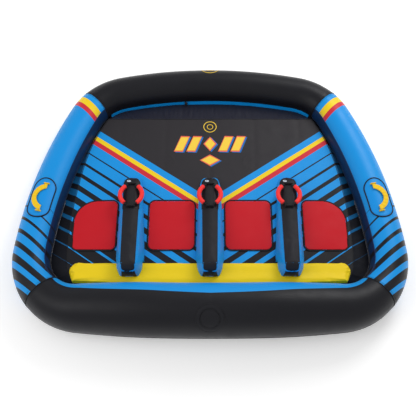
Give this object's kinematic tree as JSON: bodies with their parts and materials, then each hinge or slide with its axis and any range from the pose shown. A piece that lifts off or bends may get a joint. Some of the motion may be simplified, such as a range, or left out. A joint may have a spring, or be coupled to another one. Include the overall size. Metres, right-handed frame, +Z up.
{
  "type": "towable tube",
  "caption": "Inflatable towable deck tube with a ring-shaped bolster, seated rider places, wedge dividers and grab handles.",
  "frame": {"origin": "on the surface the tube rests on, under the middle of its length and width", "axes": "+X across the riders to their right, +Y forward to the tow end, +Z up"},
  "size_m": [2.6996, 2.209, 0.3635],
  "materials": {
    "cover_black": "woven nylon, black",
    "cover_blue": "woven nylon, bright blue with black stripes",
    "deck_print": "printed nylon, charcoal, blue, yellow and red",
    "cover_yellow": "woven nylon, yellow",
    "pad_red": "padded neoprene, red",
    "vinyl": "inflated vinyl bladder",
    "webbing_black": "nylon webbing, black",
    "webbing_yellow": "nylon webbing, yellow",
    "hook_and_loop": "speckled hook and loop tape",
    "badge": "moulded badge",
    "grip_red": "foam grip wrapped in red nylon",
    "hard_plastic": "moulded nylon, black",
    "steel": "stainless"
  },
  "bodies": {
    "tube": {"backrest_bladder": "vinyl", "bolster_bladder": "vinyl", "bolster_cover": "cover_yellow", "closure_strips": "hook_and_loop", "deck_cover": "deck_print", "divider_badges": "badge", "divider_bladders": "vinyl", "floor_bladder": "vinyl", "floor_valves": "deck_print", "front_gusset": "cover_black", "front_tube_cover": "cover_black", "front_zipper": "cover_blue", "handle_webbing": "webbing_black", "hatch_rim": "cover_black", "inner_left_seat_pad": "pad_red", "inner_right_seat_pad": "pad_red", "left_divider_cover": "cover_blue", "left_divider_strip": "cover_black", "left_gusset": "cover_blue", "left_head_patch": "cover_black", "left_tube_cover": "cover_blue", "main_tube_bladder": "vinyl", "middle_divider_cover": "cover_blue", "middle_divider_strip": "cover_black", "middle_head_patch": "cover_black", "outer_left_seat_pad": "pad_red", "outer_right_seat_pad": "pad_red", "rear_gusset": "cover_blue", "rear_tube_cover": "cover_black", "right_divider_cover": "cover_blue", "right_divider_strip": "cover_black", "right_gusset": "cover_blue", "right_head_patch": "cover_black", "right_tube_cover": "cover_blue", "seat_pad_bindings": "cover_black", "side_handle_patches": "cover_blue", "tow_harness": "webbing_black", "tow_patch": "cover_black", "tow_pin": "steel", "underside_cover": "cover_black", "valve_body": "hard_plastic"},
    "left_divider_left_handle": {"left_divider_left_grip": "grip_red", "left_divider_left_cord": "webbing_black"},
    "left_divider_right_handle": {"left_divider_right_grip": "grip_red", "left_divider_right_cord": "webbing_black"},
    "middle_divider_left_handle": {"middle_divider_left_grip": "grip_red", "middle_divider_left_cord": "webbing_black"},
    "middle_divider_right_handle": {"middle_divider_right_grip": "grip_red", "middle_divider_right_cord": "webbing_black"},
    "right_divider_left_handle": {"right_divider_left_grip": "grip_red", "right_divider_left_cord": "webbing_black"},
    "right_divider_right_handle": {"right_divider_right_grip": "grip_red", "right_divider_right_cord": "webbing_black"},
    "left_side_handle_strap": {"left_side_handle": "webbing_yellow"},
    "right_side_handle_strap": {"right_side_handle": "webbing_yellow"},
    "hatch_flap": {"hatch_lid": "cover_black"},
    "valve_stopper": {"valve_cap": "hard_plastic"},
    "tow_link": {"tow_connector": "hard_plastic"},
    "zipper_pull": {"zipper_slider": "hard_plastic"}
  },
  "joints": [
    {"name": "left_divider_left_handle_swing", "type": "hinge", "parent": "tube", "child": "left_divider_left_handle", "pos_m": [-0.58072, -0.078, 0.2148], "axis": [0, 0.9833, -0.1818], "range_deg": [0, 95]},
    {"name": "left_divider_right_handle_swing", "type": "hinge", "parent": "tube", "child": "left_divider_right_handle", "pos_m": [-0.53072, -0.078, 0.2148], "axis": [0, -0.9833, 0.1818], "range_deg": [0, 95]},
    {"name": "middle_divider_left_handle_swing", "type": "hinge", "parent": "tube", "child": "middle_divider_left_handle", "pos_m": [-0.025, -0.078, 0.2148], "axis": [0, 0.9833, -0.1818], "range_deg": [0, 95]},
    {"name": "middle_divider_right_handle_swing", "type": "hinge", "parent": "tube", "child": "middle_divider_right_handle", "pos_m": [0.025, -0.078, 0.2148], "axis": [0, -0.9833, 0.1818], "range_deg": [0, 95]},
    {"name": "right_divider_left_handle_swing", "type": "hinge", "parent": "tube", "child": "right_divider_left_handle", "pos_m": [0.53072, -0.078, 0.2148], "axis": [0, 0.9833, -0.1818], "range_deg": [0, 95]},
    {"name": "right_divider_right_handle_swing", "type": "hinge", "parent": "tube", "child": "right_divider_right_handle", "pos_m": [0.58072, -0.078, 0.2148], "axis": [0, -0.9833, 0.1818], "range_deg": [0, 95]},
    {"name": "left_side_handle_swing", "type": "hinge", "parent": "tube", "child": "left_side_handle_strap", "pos_m": [-1.15739, -0.12593, 0.267], "axis": [0.1801, 0.9837, 0], "range_deg": [0, 100]},
    {"name": "right_side_handle_swing", "type": "hinge", "parent": "tube", "child": "right_side_handle_strap", "pos_m": [1.15739, -0.12593, 0.267], "axis": [0.1801, -0.9837, 0], "range_deg": [0, 100]},
    {"name": "hatch_lid_swing", "type": "hinge", "parent": "tube", "child": "hatch_flap", "pos_m": [0, -0.98183, 0.35907], "axis": [-1, 0, 0], "range_deg": [0, 110]},
    {"name": "valve_cap_turn", "type": "hinge", "parent": "tube", "child": "valve_stopper", "pos_m": [0, -1.03285, 0.32375], "axis": [0, -0.6018, 0.7986], "range_deg": [0, 90]},
    {"name": "tow_connector_swing", "type": "hinge", "parent": "tube", "child": "tow_link", "pos_m": [0, 1.0585, 0.057], "axis": [1, 0, 0], "range_deg": [-20, 78]},
    {"name": "zipper_slider_travel", "type": "hinge", "parent": "tube", "child": "zipper_pull", "pos_m": [0, -2.168, 0.104], "axis": [0, 0, 1], "range_deg": [-15, 7.8]}
  ]
}
